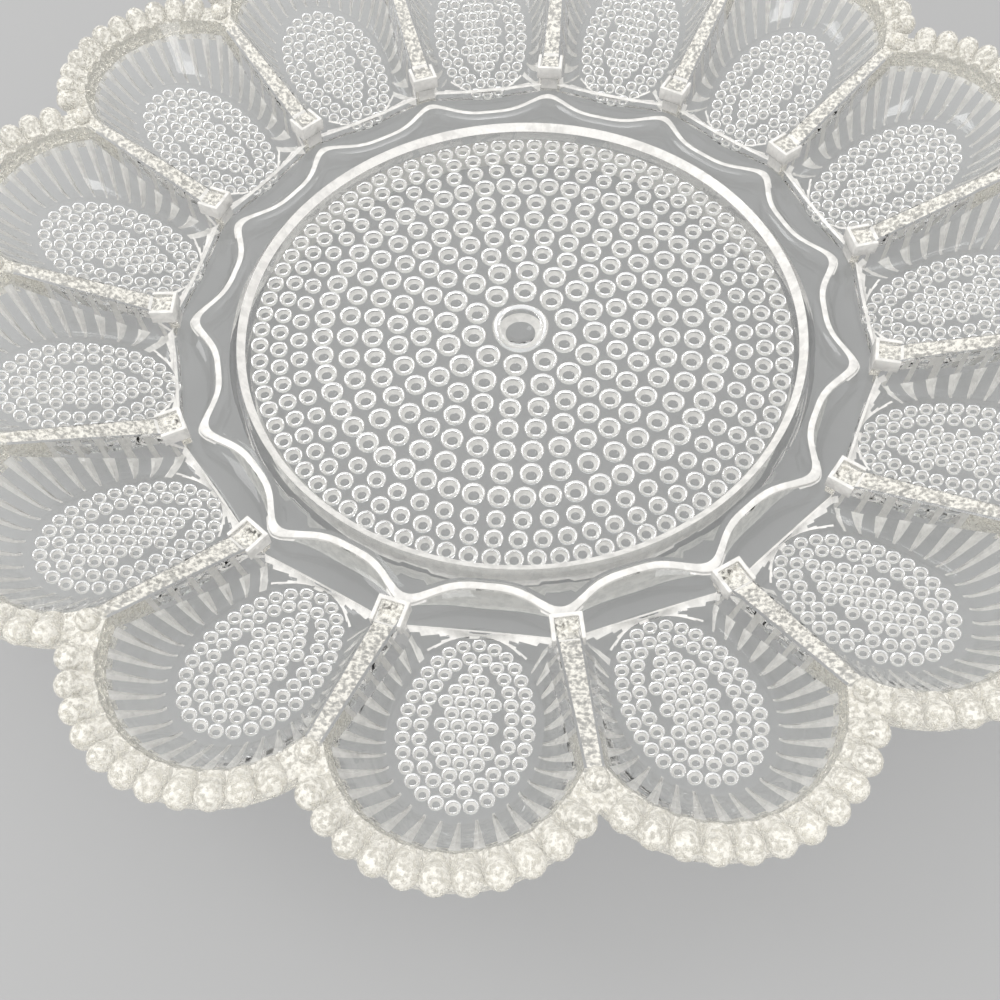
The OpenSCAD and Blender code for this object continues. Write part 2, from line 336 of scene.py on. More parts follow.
def mark(piece, wanted, slot=JOINED_SLOT):
    """Gives the wanted clear faces a finish; by default that of joined glass, for faces another piece covers."""
    hits = 0
    for face in piece.data.polygons:
        if face.material_index == CLEAR_SLOT and wanted(face.center / MM, face.normal):
            face.material_index = slot
            hits += 1
    return hits


# %% [markdown]
# The hobs are round buttons pressed into the underside. Light that meets their steep sides is turned back up,
# so from above each one is a bright ring with a dark middle, and half its slope is painted white as a painted
# highlight of that ring. One hob is a circle extruded a few times, with few faces but shaded smooth, because there
# are over 1,500 of them.

# %% One hob, hanging from height zero
HOB_SIDES = 14
HOB_PROFILE = ((1.0, 0.0), (0.96, 0.3), (0.83, 0.58), (0.65, 0.79), (0.47, 0.91), (0.22, 1.0))
# Hob faces that slope this way, about half the flank, get the painted highlight.
FLANK_NZ = (-0.9, -0.55)


def one_hob(name, width, depth, profile=HOB_PROFILE, sides=HOB_SIDES):
    def ring(share, drop):
        angles = [2 * math.pi * i / sides for i in range(sides)]
        reach = width / 2 * share
        return [(reach * math.cos(a), reach * math.sin(a), -depth * drop) for a in angles]

    root = [(x, y, HOB_ROOT) for x, y, z in ring(1, 0)]
    button = extruded_rings(name, [root] + [ring(s, d) for s, d in profile])
    mark(button, lambda c, n: FLANK_NZ[0] < n.z < FLANK_NZ[1], PAINTED_HIGHLIGHT_SLOT)
    return button


# %% [markdown]
# The middle of the platter is a flat disc with a low round step near its edge, which catches the light on the far
# side; the whole step gets a painted highlight for it. Its underside carries one big hob and ten rings of smaller
# ones, and each ring has its own count, as on the real mould. The hobs are copied into place, joined, and added to
# the disc in one boolean step, so that no hidden face is left inside the glass.

# %% The centre plate with its hobs
ROUND_N = 240
RING_SHARES = (0.168, 0.263, 0.352, 0.436, 0.523, 0.611, 0.7, 0.783, 0.853, 0.921)
RING_COUNTS = (10, 16, 23, 29, 36, 40, 53, 58, 69, 81)
RING_WIDTHS = (6.2, 6.2, 5.5, 5.5, 5.5, 5.5, 5.5, 4.5, 4.5, 4.5)
HOB_SHARE = 0.46
STEP_FROM = 67.4
STEP_R = 69.2
STEP_Z = 15.5
CENTRE_HOB_D = 14
CENTRE_HOB_H = 5.4
CENTRE_HOB_SIDES = 48
CENTRE_PROFILE = (
    (1.0, 0.0), (0.98, 0.2), (0.92, 0.4), (0.82, 0.6), (0.67, 0.78), (0.53, 0.89), (0.3, 0.97), (0.1, 1.0)
)


def circle_points(radius, z, count=ROUND_N):
    return [
        (radius * math.cos(2 * math.pi * i / count), radius * math.sin(2 * math.pi * i / count), z)
        for i in range(count)
    ]


plate_section = ((STEP_FROM, FLOOR_Z), (STEP_R, STEP_Z), (PLATE_R, STEP_Z), (PLATE_R, UNDER_Z))
plate = extruded_rings("centre_plate_glass", [circle_points(r, z) for r, z in plate_section])
patterns = {w: one_hob("hob", w, w * HOB_SHARE) for w in set(RING_WIDTHS)}
buttons = [one_hob("centre_hob", CENTRE_HOB_D, CENTRE_HOB_H, CENTRE_PROFILE, CENTRE_HOB_SIDES)]
buttons[0].data.transform(Matrix.Translation((0, 0, UNDER_Z * MM)))
for share, count, width in zip(RING_SHARES, RING_COUNTS, RING_WIDTHS):
    for k in range(count):
        turn = Matrix.Rotation(2 * math.pi * k / count - math.pi / 2, 4, "Z")
        shift = Matrix.Translation((share * PLATE_R * MM, 0, UNDER_Z * MM))
        buttons.append(copy_at(patterns[width], turn @ shift))
for p in patterns.values():
    bpy.data.objects.remove(p)
hob_total = len(buttons)
carve(plate, joined(buttons), "UNION")
smooth(plate)


def plate_seam(c, n):
    radius = math.hypot(c.x, c.y)
    return radius > PLATE_R - 0.1 and abs(n.z) < 0.5


def on_step(c, n):
    return STEP_FROM < math.hypot(c.x, c.y) < STEP_R and 0.2 < n.z < 0.9


print("hobs under the middle:", hob_total, "- edge faces joined:", mark(plate, plate_seam))
# The step gets the painted highlight all round.
mark(plate, on_step, PAINTED_HIGHLIGHT_SLOT)

# %% [markdown]
# The foot is a low ring with rounded corners. Its upper face grows out of the plate and the collar, so that face
# is joined glass. It is the same circle, extruded round a section and closed on itself. Its inner wall gathers
# light, and that light is painted on it as a painted highlight.

# %% The foot ring
FOOT_ROUND = 0.5
FOOT_SHARP = math.radians(60)
slope = (FOOT_W - FOOT_FLAT_W) / 2
foot_section = (
    (FOOT_IN, UNDER_Z),
    (FOOT_IN + 0.35 * slope, 0.65 * UNDER_Z),
    (FOOT_IN + 0.75 * slope, 0.25 * UNDER_Z),
    (FOOT_IN + slope, FOOT_ROUND),
    (FOOT_IN + slope + FOOT_ROUND, 0),
    (FOOT_IN + slope + FOOT_FLAT_W - FOOT_ROUND, 0),
    (FOOT_IN + slope + FOOT_FLAT_W, FOOT_ROUND),
    (FOOT_IN + FOOT_W - 0.75 * slope, 0.25 * UNDER_Z),
    (FOOT_IN + FOOT_W - 0.35 * slope, 0.65 * UNDER_Z),
    (FOOT_IN + FOOT_W, UNDER_Z),
)
foot_rings = [circle_points(r, z) for r, z in foot_section]
foot = extruded_rings("foot_ring_glass", foot_rings + [foot_rings[0]], close=True)
smooth(foot, FOOT_SHARP)


def inner_foot_wall(c, n):
    return math.hypot(c.x, c.y) < FOOT_IN + 0.3 * FOOT_W and abs(n.z) < 0.8


print("foot faces joined:", mark(foot, lambda c, n: c.z > UNDER_Z - 0.01))
# The inner wall gets the painted highlight.
mark(foot, inner_foot_wall, PAINTED_HIGHLIGHT_SLOT)

# %% [markdown]
# Between the middle and the wells runs the collar. Its crest is scalloped, close to the middle at each well and
# further out between two wells, and from the crest a smooth lens-shaped hollow runs to each well's straight end.
# The ring of points therefore follows the 15 wells, and its section changes with the angle. The crest's top and
# outer side and the edge along each well's straight end get a painted highlight for the light they gather.

# %% The collar
LENS_N = 14
CORNER_N = 4
CORNER_STEP = (HALF - CHORD_A) / CORNER_N
SECTOR = [-HALF + CORNER_STEP * k for k in range(1, CORNER_N)]
SECTOR += [mix(-CHORD_A, CHORD_A, k / LENS_N) for k in range(LENS_N + 1)]
SECTOR += [CHORD_A + CORNER_STEP * k for k in range(1, CORNER_N + 1)]
COLLAR_DIRS = [(w * 2 * HALF - math.pi / 2, a) for w in range(WELLS) for a in SECTOR]
CREST_POWER = 3.0
CUSP_SOFT = 0.28
CREST_ROUND = 1.0
RIDGE_HIGH = 0.8
RIDGE_W, CUSP_RIDGE_W = 1.25, 2.0
RIDGE_SINK = 0.1
DISH_POWER = 2.6


def crest_radius(a):
    """Close to the middle on a well's axis, and further out between two wells, where the cusp is rounded."""
    gap = math.hypot(1 - abs(a) / HALF, CUSP_SOFT) - CUSP_SOFT
    return mix(CREST_R, CUSP_R, (1 - gap / (math.hypot(1, CUSP_SOFT) - CUSP_SOFT)) ** CREST_POWER)


def collar_edge(a):
    if abs(a) > CHORD_A + 0.001:
        return DIVIDER_IN / math.cos(HALF - abs(a))
    return CHORD_R / math.cos(a)


def collar_ring(radius, height):
    """A ring whose radius and height are functions of the angle off the well's axis."""
    return [
        (radius(a) * math.cos(base + a), radius(a) * math.sin(base + a), height(a)) for base, a in COLLAR_DIRS
    ]


def lens_ring(share):
    """A ring across the lens-shaped hollow, from the crest at 0 to the well's end at 1."""

    def radius(a):
        return mix(crest_radius(a) + CREST_ROUND * ridge_width(a), collar_edge(a), share)

    def height(a):
        dip = (1 - abs(2 * share - 1) ** DISH_POWER) * FACET_DIP * (1 - (a / HALF) ** 2)
        return mix(CREST_Z - RIDGE_SINK, CHORD_Z, share) - dip

    return collar_ring(radius, height)


def ridge_width(a):
    """Half the ridge's width, which grows towards the cusps."""
    return mix(RIDGE_W, CUSP_RIDGE_W, (abs(a) / HALF) ** 2)


def ridge_ring(off, share):
    """A ring along the crest's rounded ridge, so far off its middle and at this share of its height."""
    return collar_ring(
        lambda a: crest_radius(a) + off * ridge_width(a),
        lambda a: mix(STEP_Z - RIDGE_SINK, CREST_Z + RIDGE_HIGH, share),
    )


RIDGE = ((-1.25, 0.0), (-0.95, 0.45), (-0.6, 0.8), (-0.2, 0.98), (0.2, 0.98), (0.6, 0.85), (0.9, 0.65))
LENS_SHARES = (0, 0.07, 0.16, 0.3, 0.5, 0.7, 0.85, 0.94, 1)
collar_rings = [
    collar_ring(lambda a: PLATE_R, lambda a: STEP_Z),
    *[ridge_ring(off, share) for off, share in RIDGE],
    *[lens_ring(share) for share in LENS_SHARES],
    collar_ring(collar_edge, lambda a: CHORD_UNDER_Z),
    collar_ring(
        lambda a: mix(FOOT_IN + FOOT_W, collar_edge(a), 0.5),
        lambda a: mix(UNDER_Z, CHORD_UNDER_Z, 0.4),
    ),
    collar_ring(lambda a: FOOT_IN + FOOT_W, lambda a: UNDER_Z),
    collar_ring(lambda a: PLATE_R, lambda a: UNDER_Z),
]
collar = extruded_rings("collar_glass", collar_rings + [collar_rings[0]], close=True)
smooth(collar)


def collar_seam(c, n):
    radius = math.hypot(c.x, c.y)
    inner_wall = radius < PLATE_R + 0.1 and abs(n.z) < 0.5
    over_foot = radius < FOOT_IN + FOOT_W and n.z < -0.5
    outer_wall = radius > CHORD_R - 0.2 and abs(n.z) < 0.5
    return inner_wall or over_foot or outer_wall


def off_axis(c):
    """The angle between a point and the axis of the nearest well."""
    return (math.atan2(c.y, c.x) + math.pi / 2 + HALF) % (2 * HALF) - HALF


def on_chord(c, n):
    return n.z > 0.3 and math.hypot(c.x, c.y) * math.cos(off_axis(c)) > CHORD_R - 0.5


def on_crest(c, n):
    off_ridge = (math.hypot(c.x, c.y) - crest_radius(off_axis(c))) / ridge_width(off_axis(c))
    return n.z > 0.2 and -0.3 < off_ridge < 1.1


# The crest and the strip along each well's straight end get the painted highlight.
print("collar faces joined:", mark(collar, collar_seam), "- on the crest:", mark(collar, on_crest, PAINTED_HIGHLIGHT_SLOT))
mark(collar, on_chord, PAINTED_HIGHLIGHT_SLOT)

# %% [markdown]
# A well is a petal-shaped bowl. Inside it is smooth: an egg-shaped floor that tilts up towards the rim and a wall
# that curves up to the lip. Outside, 28 narrow grooves run from the floor's smooth border to the lip, and through
# the glass they show as bright wedges with dark glass between them; here those wedges are a painted highlight. The
# outline is walked once round, with a point on each groove, one on each side of it, and three on the smooth rib up
# to the next groove.

# %% The outline of a well
GROOVES = 28
SIXTHS = 6
GROOVE_SPOTS = ((0.0, "groove"), (0.5, "edge"), (1.5, "rib"), (3.0, "rib"), (4.5, "rib"), (5.5, "edge"))
CHORD_N = 14
CLIMB_SHARE = 0.16
SIDE_LEN = DIVIDER_OUT - DIVIDER_IN
ARC_LEN = 2 * LIP_A * LIP_R
PITCH = (2 * SIDE_LEN + ARC_LEN) / GROOVES


def beside(along, off, side):
    """A point next to a divider's centre line, in the frame of the well beside it."""
    return Vector(
        (
            along * math.cos(HALF) + off * math.sin(HALF),
            side * (along * math.sin(HALF) - off * math.cos(HALF)),
        )
    )


def side_edge(t, side):
    """Point, upper height and lower height of a well's side, from the inner end at 0 to the rim at 1."""
    spot = beside(mix(DIVIDER_IN, DIVIDER_OUT, t), mix(DIVIDER_W_IN, DIVIDER_W_OUT, t) / 2, side)
    crest = mix(DIVIDER_Z, LIP_Z, max(t, CLIMB_SHARE))
    return spot, mix(CHORD_Z, crest, min(1, t / CLIMB_SHARE)), mix(CHORD_UNDER_Z, LIP_UNDER_Z, t)


def edge_at(s):
    """The outline at the length s from the inner corner on the -Y side, up to the one on the +Y side."""
    if s < SIDE_LEN:
        return side_edge(max(0, s) / SIDE_LEN, -1)
    if s > SIDE_LEN + ARC_LEN:
        return side_edge(max(0, 2 * SIDE_LEN + ARC_LEN - s) / SIDE_LEN, 1)
    a = mix(-LIP_A, LIP_A, (s - SIDE_LEN) / ARC_LEN)
    return Vector((SCALLOP_X + LIP_R * math.cos(a), LIP_R * math.sin(a))), LIP_Z, LIP_UNDER_Z


def chord_at(t):
    return Vector((CHORD_R, mix(CHORD_HALF_W, -CHORD_HALF_W, t))), CHORD_Z, CHORD_UNDER_Z


columns = [("side", 0.0, "rib", 0)]
for k in range(GROOVES):
    for spot, kind in GROOVE_SPOTS:
        place = (k + 0.5 + spot / SIXTHS) * PITCH
        if place < 2 * SIDE_LEN + ARC_LEN - 0.1:
            side = 1 if spot < SIXTHS / 2 else -1
            columns.append(("side", place, kind, side))
columns += [("chord", t / CHORD_N, "rib", 0) for t in range(CHORD_N)]
print("points round a well:", len(columns), "- one groove every", round(PITCH, 2), "mm")

# %% [markdown]
# Each column of points then runs out over the floor, up the inner wall, down over the lip, and back under the
# outer wall to the floor's underside. A groove is pushed into the outer wall, and it is pointed at its inner end.
# The grooves, a strip along the well's straight end and the two creases beside it get a painted highlight for the
# light they gather, and the edge under the lip is stippled like the rim.

# %% The rings of a well's bowl
INNER_POWER = 1.3
OUTER_POWER = 1.8
WELL_SHARP = math.radians(33)
GROOVE_DEPTH = 0.8
GROOVE_IN = 0.08
GROOVE_OUT = 0.25
GROOVE_LEAN = math.radians(50)
GROOVE_START, GROOVE_STOP = 0.14, 0.05
CHORD_BAND = 1.6
BAND_AT_AXIS = 0.3
CREASE_W = 0.6
CREASE_LEN = 4.5
LIP_BAND = 0.9
FLOOR_STEPS = (0.3, 0.6, 0.85, 0.97)
WALL_STEPS = (0.0, 0.06, 0.15, 0.27, 0.4, 0.54, 0.68, 0.82, 0.93, 1.0)
UNDER_STEPS = (0.985, 0.96)
SAME_SPOT = 0.01


def ease(t):
    t = min(1, max(0, t))
    return t * t * (3 - 2 * t)


def egg_edge(a, egg=(EGG_IN, EGG_OUT, EGG_HALF_W), inset=0):
    length = (egg[1] if math.cos(a) > 0 else egg[0]) - inset
    width = egg[2] - inset
    reach = 1 / math.sqrt((math.cos(a) / length) ** 2 + (math.sin(a) / width) ** 2)
    return Vector((EGG_X + reach * math.cos(a), reach * math.sin(a)))


def floor_height(x):
    return EGG_Z + EGG_RISE * (x - EGG_X + EGG_IN) / (EGG_IN + EGG_OUT)


def column_spot(column, share):
    """The outline point, its heights and the floor's edge for one column.

    A groove's sides close up towards the floor."""
    kind, place, part, side = column
    if kind == "chord":
        rim, top, under = chord_at(place)
    else:
        if part == "edge":
            nearest = round(place / PITCH - 0.5) + 0.5
            place = (nearest + side * mix(GROOVE_IN, GROOVE_OUT, share)) * PITCH
        rim, top, under = edge_at(place)
    return rim, top, under, egg_edge(math.atan2(rim.y, rim.x - EGG_X))


def inner_point(column, share):
    rim, top, under, floor = column_spot(column, 1)
    spot = floor.lerp(rim, share)
    return (spot.x, spot.y, mix(floor_height(spot.x), top, share**INNER_POWER))


def outer_point(column, share):
    rim, top, under, floor = column_spot(column, share)
    spot = floor.lerp(rim, share)
    height = mix(floor_height(spot.x) - EGG_T, under, share**OUTER_POWER)
    if column[2] == "groove":
        push = GROOVE_DEPTH * ease(share / GROOVE_START) * ease((1 - share) / GROOVE_STOP)
        away = (rim - floor).normalized()
        spot = spot - away * push * math.sin(GROOVE_LEAN)
        height += push * math.cos(GROOVE_LEAN)
    return (spot.x, spot.y, height)


def floor_point(column, share, drop):
    rim, top, under, floor = column_spot(column, 1)
    spot = Vector((EGG_X, 0)).lerp(floor, share)
    return (spot.x, spot.y, floor_height(spot.x) - drop)


well_rings = [[floor_point(c, s, 0) for c in columns] for s in FLOOR_STEPS]
well_rings += [[inner_point(c, s) for c in columns] for s in WALL_STEPS]
well_rings += [[outer_point(c, s) for c in columns] for s in reversed(WALL_STEPS)]
well_rings += [[floor_point(c, s, EGG_T) for c in columns] for s in UNDER_STEPS]
well = extruded_rings("egg_well_glass", well_rings)
for side in (-1, 1):
    off_band = (CHORD_HALF_W, -(1 - BAND_AT_AXIS) * side * CHORD_BAND, 0)
    cut_across(
        well, (CHORD_R + BAND_AT_AXIS * CHORD_BAND, 0, 0), off_band,
        lambda c, n: n.z > 0.1 and c.x < CHORD_R + 2 * CREASE_LEN and c.y * side > 0,
    )
deep_spots = [outer_point(c, s) for c in columns if c[2] == "groove" for s in WALL_STEPS[1:-1]]
deep_tree = kdtree.KDTree(len(deep_spots))
for i, spot in enumerate(deep_spots):
    deep_tree.insert(Vector(spot), i)
deep_tree.balance()
deep = {v.index for v in well.data.vertices if deep_tree.find(v.co / MM)[2] < SAME_SPOT}
for face in well.data.polygons:
    c, n = face.center / MM, face.normal
    spot = Vector((c.x, c.y)) - Vector((EGG_X, 0))
    past_floor = spot.length - (egg_edge(math.atan2(c.y, c.x - EGG_X)) - Vector((EGG_X, 0))).length
    band = CHORD_BAND * mix(BAND_AT_AXIS, 1, abs(c.y) / CHORD_HALF_W)
    in_band = n.z > 0.1 and c.x < CHORD_R + band
    crease = n.z > 0.1 and c.x < CHORD_R + CREASE_LEN and 0 < past_floor < CREASE_W
    # The strip along the straight end, the creases and the grooves get the painted highlight.
    if in_band or crease or any(i in deep for i in face.vertices):
        face.material_index = PAINTED_HIGHLIGHT_SLOT
    elif n.z < -0.1 and c.x > EGG_X and math.hypot(c.x - SCALLOP_X, c.y) > LIP_R - LIP_BAND:
        face.material_index = STIPPLED_SLOT
print("faces in a bowl:", len(well.data.polygons), "- corners deep in the grooves:", len(deep))

# %% [markdown]
# The floor's underside has its own hobs: two egg-shaped rings, close-packed rows inside them, and one more
# wherever there is still room. They stand square to the tilted floor, so they are made flat, tilted together, and
# added to the bowl.

# %% The hobs of a well
WELL_HOB_W = 3.1
WELL_HOB_PITCH = 3.2
WELL_HOB_RING_STEP = 3.2
ROW_STEP = WELL_HOB_PITCH * math.cos(math.radians(30))
ROWS = 8
SHIFTS = 8
FILL_STEP = 0.35
WELL_HOB_RINGS = 2
HOB_GAP = 0.02
RING_STEPS = 720
FIELD_IN = 21.7
FIELD_OUT = 17.8
FIELD_HALF_W = 13.5
TILT = math.atan(EGG_RISE / (EGG_IN + EGG_OUT))
SIDE_END_X = EGG_X + 12

button = one_hob("hob", WELL_HOB_W, WELL_HOB_W * HOB_SHARE)
low = (floor_height(EGG_X) - EGG_T) * MM
lay = Matrix.Translation((EGG_X * MM, 0, low)) @ Matrix.Rotation(-TILT, 4, "Y")


def spaced_ring(inset, pitch, phase):
    """Spots at an even distance along an egg-shaped ring, measured in the tilted floor's own plane."""
    field = (FIELD_IN, FIELD_OUT, FIELD_HALF_W)
    turns = [2 * math.pi * i / RING_STEPS for i in range(RING_STEPS + 1)]
    path = [egg_edge(a, field, inset) - Vector((EGG_X, 0)) for a in turns]
    path = [Vector((q.x / math.cos(TILT), q.y)) for q in path]
    lengths = [0.0]
    for a, b in zip(path, path[1:]):
        lengths.append(lengths[-1] + (b - a).length)
    count = int(lengths[-1] / pitch)
    spots = []
    for j in range(count):
        want = lengths[-1] * ((j + phase) % count) / count
        spots.append(path[min(range(RING_STEPS), key=lambda i: abs(lengths[i] - want))])
    return spots


def has_room(spot, taken):
    return all((spot - other).length > WELL_HOB_W + HOB_GAP for other in taken)


def inside_field(spot):
    flat = Vector((spot.x * math.cos(TILT), spot.y))
    edge = egg_edge(math.atan2(flat.y, flat.x), (FIELD_IN, FIELD_OUT, FIELD_HALF_W)) - Vector((EGG_X, 0))
    return flat.length < edge.length - WELL_HOB_W


def close_packed(shift_x, shift_y):
    """The rows of hobs, each half a pitch off the next, that still fit inside the rings."""
    spots = []
    for i in range(-ROWS, ROWS + 1):
        for j in range(-ROWS, ROWS + 1):
            spot = Vector((i * ROW_STEP + shift_x, (j + 0.5 * (i % 2)) * WELL_HOB_PITCH + shift_y))
            if inside_field(spot) and has_room(spot, taken):
                spots.append(spot)
    return spots


taken = []
for k in range(WELL_HOB_RINGS):
    inset = WELL_HOB_W / 2 + k * WELL_HOB_RING_STEP
    for spot in spaced_ring(inset, WELL_HOB_PITCH, 0.5 * (k % 2)):
        if has_room(spot, taken):
            taken.append(spot)
shifts = [k * WELL_HOB_PITCH / SHIFTS for k in range(SHIFTS)]
taken += max((close_packed(a, b) for a in shifts for b in shifts), key=len)
across = int(FIELD_HALF_W / FILL_STEP)
along = int(FIELD_IN / FILL_STEP)
for i in range(-along, along):
    for j in range(-across, across):
        spot = Vector((i * FILL_STEP, j * FILL_STEP))
        if inside_field(spot) and has_room(spot, taken):
            taken.append(spot)
buttons = [copy_at(button, lay @ Matrix.Translation((q.x * MM, q.y * MM, 0))) for q in taken]
bpy.data.objects.remove(button)
well_hobs = len(buttons)
carve(well, joined(buttons), "UNION")
smooth(well, WELL_SHARP)


def well_seam(c, n):
    upright = abs(n.z) < 0.15
    at_chord = c.x < CHORD_R + 0.05
    past_arc = abs(math.hypot(c.x - SCALLOP_X, c.y) - LIP_R)
    at_arc = past_arc < 0.1 and c.z > LIP_UNDER_Z and c.x > SCALLOP_X
    past_divider = abs(abs(c.y) * math.cos(HALF) - c.x * math.sin(HALF))
    at_side = past_divider < DIVIDER_W_IN / 2 + 0.1 and c.x < SIDE_END_X
    return upright and (at_chord or at_arc or at_side)


print("hobs under a floor:", well_hobs, "- edge faces joined:", mark(well, well_seam))

# %% [markdown]
# Two wells share a flat-topped divider. It starts as a cube that gets its real corners. Its inner end is a block
# with a raised rim on three sides: a wider cube with a shallow hollow, its edges bevelled, that reaches over the
# collar and stands on it with a narrower foot. Then the whole is cut into short lengths, so that its top can take
# the uneven stipple of the mould. The upper part of the sides shows the stipple through the wells' clear walls.
# Below that the glass is joined to the wells and shows only the ends of their grooves, as strips of painted
# highlight. The block's rim gets the painted highlight too.

# %% A divider
DIVIDER_CUTS = 60
STIPPLE_HIGH = 0.22
STIPPLE_STEP = 0.55
TOP_EDGE = 0.5
TOP_LINES = (TOP_EDGE, TOP_EDGE + 0.35, TOP_EDGE + 0.8)
TOP_RISE = 0.3
BLOCK_W = 6.8
BLOCK_L = 3.5
BLOCK_IN = 2.4
BLOCK_RIM = 0.9
BLOCK_Z = 22.8
BLOCK_DEEP = 0.8
BLOCK_LOW_Z = DIVIDER_Z - 1.6
BLOCK_ROUND = 0.22
BLOCK_FOOT_W = 4.6
BLOCK_FOOT_BACK = 0.3
BLOCK_FOOT_END = 0.5
BLOCK_FOOT_UP = 0.1
SNUG = 0.02
GROOVE_END = 0.13
SIDE_BAND = 2.6


def divider_top(x):
    return mix(DIVIDER_Z, LIP_Z, (x - DIVIDER_IN) / SIDE_LEN)


def divider_under(x):
    return mix(CHORD_UNDER_Z, LIP_UNDER_Z, (x - DIVIDER_IN) / SIDE_LEN)


def half_width(x):
    return mix(DIVIDER_W_IN, DIVIDER_W_OUT, (x - DIVIDER_IN) / SIDE_LEN) / 2 - SNUG


def cube_between(name, low, high):
    select_nothing()
    bpy.ops.mesh.primitive_cube_add(size=2)
    cube = bpy.context.object
    cube.name = cube.data.name = name
    for v in cube.data.vertices:
        v.co = Vector([(a if t < 0 else b) * MM for a, b, t in zip(low, high, v.co)])
    for finish in FINISHES:
        cube.data.materials.append(finish)
    return cube


divider = cube_between("divider_glass", (DIVIDER_IN, -1, 0), (DIVIDER_OUT, 1, 1))
for v in divider.data.vertices:
    x, y, z = v.co / MM
    v.co = Vector((x, y * half_width(x), divider_top(x) if z > 0.5 else divider_under(x))) * MM

low_corner = (DIVIDER_IN - BLOCK_IN, -BLOCK_W / 2, BLOCK_LOW_Z)
block = cube_between("block", low_corner, (DIVIDER_IN + BLOCK_L, BLOCK_W / 2, BLOCK_Z))
block_foot_low = (DIVIDER_IN - BLOCK_IN + BLOCK_FOOT_BACK, -BLOCK_FOOT_W / 2, CHORD_Z + BLOCK_FOOT_UP)
block_foot_high = (DIVIDER_IN + BLOCK_FOOT_END, BLOCK_FOOT_W / 2, DIVIDER_Z)
carve(block, cube_between("block_foot", block_foot_low, block_foot_high), "UNION")
hollow_from = (DIVIDER_IN - BLOCK_IN + BLOCK_RIM, BLOCK_RIM - BLOCK_W / 2, BLOCK_Z - BLOCK_DEEP)
hollow_to = (DIVIDER_IN + BLOCK_L + 1, BLOCK_W / 2 - BLOCK_RIM, BLOCK_Z + 1)
carve(block, cube_between("hollow", hollow_from, hollow_to), "DIFFERENCE")
select_nothing()
bpy.context.view_layer.objects.active = block
soften = block.modifiers.new("Soft edges", "BEVEL")
soften.width = BLOCK_ROUND * MM
soften.segments = 2
bpy.ops.object.modifier_apply(modifier=soften.name)
carve(divider, block, "UNION")


def top_face(c, n):
    return n.z > 0.5


for k in range(1, DIVIDER_CUTS):
    cut_across(divider, (mix(DIVIDER_IN, DIVIDER_OUT, k / DIVIDER_CUTS), 0, 0), (1, 0, 0))
cut_across(divider, (DIVIDER_IN, 0, DIVIDER_Z - SIDE_BAND), (DIVIDER_Z - LIP_Z, 0, SIDE_LEN))
lean = (DIVIDER_W_IN - DIVIDER_W_OUT) / 2 / SIDE_LEN
for side in (-1, 1):
    for inside in TOP_LINES:
        spot = (DIVIDER_IN, side * (DIVIDER_W_IN / 2 - inside), 0)
        cut_across(divider, spot, (lean, side, 0), top_face)
cut_across(divider, (0, 0, 0), (0, 1, 0), top_face)
for v in divider.data.vertices:
    x, y, z = v.co / MM
    on_top = z > divider_top(x) - 0.01 and x > DIVIDER_IN + BLOCK_L
    if on_top and half_width(x) - abs(y) > TOP_EDGE - 0.05:
        rough = noise.noise(Vector((x, y, z)) / STIPPLE_STEP)
        v.co.z += (TOP_RISE + STIPPLE_HIGH * rough) * MM
smooth(divider)


def divider_seam(c, n):
    along = (c.x - DIVIDER_IN) / SIDE_LEN
    if abs(n.x) > 0.9:
        return c.x > EGG_X or CHORD_UNDER_Z < c.z < CHORD_Z
    lip = mix(CHORD_Z, mix(DIVIDER_Z, LIP_Z, max(along, CLIMB_SHARE)), min(1, along / CLIMB_SHARE))
    lip = min(lip, divider_top(c.x) - SIDE_BAND)
    return along > 0 and n.z < 0.4 and c.z < lip and abs(c.y) < half_width(c.x) + SNUG


def on_block(c, n):
    raised = c.z > BLOCK_Z - 0.3 or abs(c.y) > half_width(c.x) + SNUG
    return c.x < DIVIDER_IN + BLOCK_L + 0.1 and (raised or c.x < DIVIDER_IN - BLOCK_IN + 0.4)


def groove_end(c, n):
    """The places on a divider's sides where the wells' grooves end."""
    off_groove = (c.x - DIVIDER_IN) / PITCH % 1 - 0.5
    low_side = abs(n.y) > 0.9 and c.x > DIVIDER_IN and c.z < divider_top(c.x) - SIDE_BAND
    return low_side and abs(off_groove) < GROOVE_END


def stippled(c, n):
    """Everything left, apart from the clear, rounded edges of the top."""
    return n.z < 0.4 or half_width(c.x) - abs(c.y) > TOP_EDGE - 0.05


# The groove ends and the block's rim get the painted highlight.
mark(divider, groove_end, PAINTED_HIGHLIGHT_SLOT)
mark(divider, divider_seam)
mark(divider, on_block, PAINTED_HIGHLIGHT_SLOT)
mark(divider, stippled, STIPPLED_SLOT)
print("faces in a divider:", len(divider.data.polygons))

# %% [markdown]
# The rim of a well is a row of 11 round beads, each with a finger that slopes down to the lip. Balls, fingers and
# the ledge they stand on are added to each other one by one, and the whole is kept only where it belongs to this
# scallop. That limit cuts the bead where two scallops meet in half, one half for each neighbour.

# %% One scallop of the beaded rim
FINGER_IN_D = 4.5
FINGER_OUT_D = 5.2
FINGER_DROP = 3.2
BALL_SIDES = 16
BALL_RINGS = 10
LEDGE_N = 96
LEDGE_R = BEAD_LINE_R + 1.1
FINGER_END_R = LIP_R - 1
REGION_MORE = 5
FAR = 150
ARC_STEPS = 64


def add_ball(width, spot):
    select_nothing()
    bpy.ops.mesh.primitive_uv_sphere_add(segments=BALL_SIDES, ring_count=BALL_RINGS, radius=width / 2 * MM)
    ball = bpy.context.object
    ball.data.transform(Matrix.Translation(Vector(spot) * MM))
    ball.matrix_world = Matrix.Identity(4)
    return ball


